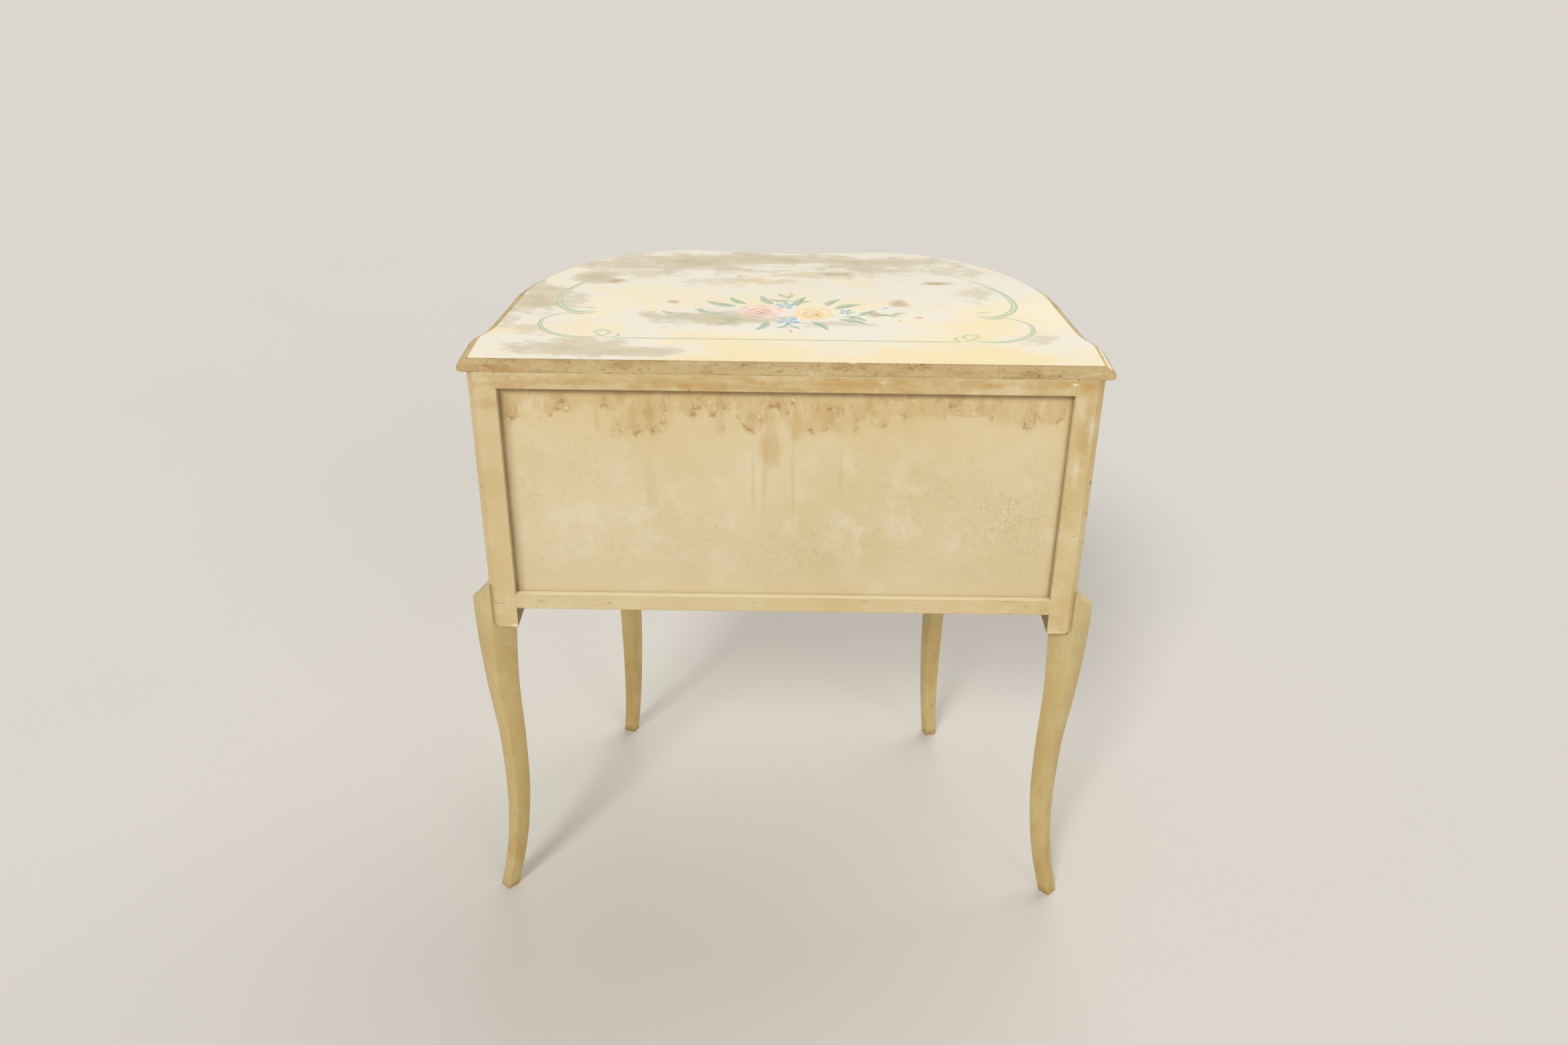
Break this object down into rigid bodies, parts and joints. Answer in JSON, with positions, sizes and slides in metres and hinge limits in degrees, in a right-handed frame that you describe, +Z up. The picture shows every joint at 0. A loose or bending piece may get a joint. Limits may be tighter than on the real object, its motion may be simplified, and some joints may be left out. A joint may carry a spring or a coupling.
{
  "type": "commode chest",
  "caption": "Small painted commode with a serpentine front, drawers that slide out on hanging bail pulls, a moulded top and slender cabriole legs.",
  "frame": {"origin": "on the floor, under the middle of the whole chest with its bails hanging", "axes": "+Z up, -Y out of the drawer fronts, +X to the right as seen from the front"},
  "size_m": [0.7472, 0.426, 0.765],
  "materials": {
    "painted_top": "pale cream paint with floral decoration, rubbed and stained",
    "painted_case": "cream paint over wood, aged, stained and finely crackled",
    "painted_leg": "cream paint over wood, darkened by age and rubbed brown on the edges",
    "bare_wood": "unfinished sawn softwood",
    "drawer_wood": "planed and waxed drawer wood",
    "aged_brass": "cast brass, darkened with age"
  },
  "bodies": {
    "case": {"back_bottom_rail": "painted_case", "back_middle_rail": "bare_wood", "back_panel": "painted_case", "back_top_rail": "painted_case", "bottom_board": "bare_wood", "drawer_divider": "painted_case", "front_apron": "painted_case", "front_glue_block_left": "bare_wood", "front_glue_block_right": "bare_wood", "front_leg_left": "painted_leg", "front_leg_right": "painted_leg", "front_post_left": "painted_case", "front_post_right": "painted_case", "front_top_rail": "painted_case", "lower_drawer_stop_left": "bare_wood", "lower_drawer_stop_right": "bare_wood", "lower_runner_left": "bare_wood", "lower_runner_right": "bare_wood", "rear_glue_block_left": "bare_wood", "rear_glue_block_right": "bare_wood", "rear_leg_left": "painted_leg", "rear_leg_right": "painted_leg", "rear_post_left": "painted_case", "rear_post_right": "painted_case", "side_panel_left": "painted_case", "side_panel_right": "painted_case", "top_board": "painted_top", "top_kicker_left": "bare_wood", "top_kicker_right": "bare_wood", "upper_drawer_stop_left": "bare_wood", "upper_drawer_stop_right": "bare_wood", "upper_runner_left": "bare_wood", "upper_runner_right": "bare_wood"},
    "lower_drawer": {"lower_drawer_back": "drawer_wood", "lower_drawer_bottom": "drawer_wood", "lower_drawer_front": "painted_case", "lower_drawer_side_left": "drawer_wood", "lower_drawer_side_right": "drawer_wood", "lower_left_pull_post_inner": "aged_brass", "lower_left_pull_post_outer": "aged_brass", "lower_right_pull_post_inner": "aged_brass", "lower_right_pull_post_outer": "aged_brass"},
    "upper_drawer": {"upper_drawer_back": "drawer_wood", "upper_drawer_bottom": "drawer_wood", "upper_drawer_front": "painted_case", "upper_drawer_side_left": "drawer_wood", "upper_drawer_side_right": "drawer_wood", "upper_left_pull_post_inner": "aged_brass", "upper_left_pull_post_outer": "aged_brass", "upper_right_pull_post_inner": "aged_brass", "upper_right_pull_post_outer": "aged_brass"},
    "lower_left_bail": {"lower_left_bail": "aged_brass"},
    "lower_right_bail": {"lower_right_bail": "aged_brass"},
    "upper_left_bail": {"upper_left_bail": "aged_brass"},
    "upper_right_bail": {"upper_right_bail": "aged_brass"}
  },
  "joints": [
    {"name": "lower_drawer_slide", "type": "slide", "parent": "case", "child": "lower_drawer", "axis": [0, -1, 0], "range_m": [0, 0.26]},
    {"name": "lower_left_bail_swing", "type": "hinge", "parent": "lower_drawer", "child": "lower_left_bail", "pos_m": [-0.118, -0.208, 0.53155], "axis": [-1, 0, 0], "range_deg": [-15, 160]},
    {"name": "lower_right_bail_swing", "type": "hinge", "parent": "lower_drawer", "child": "lower_right_bail", "pos_m": [0.118, -0.208, 0.53155], "axis": [-1, 0, 0], "range_deg": [-15, 160]},
    {"name": "upper_drawer_slide", "type": "slide", "parent": "case", "child": "upper_drawer", "axis": [0, -1, 0], "range_m": [0, 0.26]},
    {"name": "upper_left_bail_swing", "type": "hinge", "parent": "upper_drawer", "child": "upper_left_bail", "pos_m": [-0.118, -0.208, 0.66865], "axis": [-1, 0, 0], "range_deg": [-15, 160]},
    {"name": "upper_right_bail_swing", "type": "hinge", "parent": "upper_drawer", "child": "upper_right_bail", "pos_m": [0.118, -0.208, 0.66865], "axis": [-1, 0, 0], "range_deg": [-15, 160]}
  ]
}
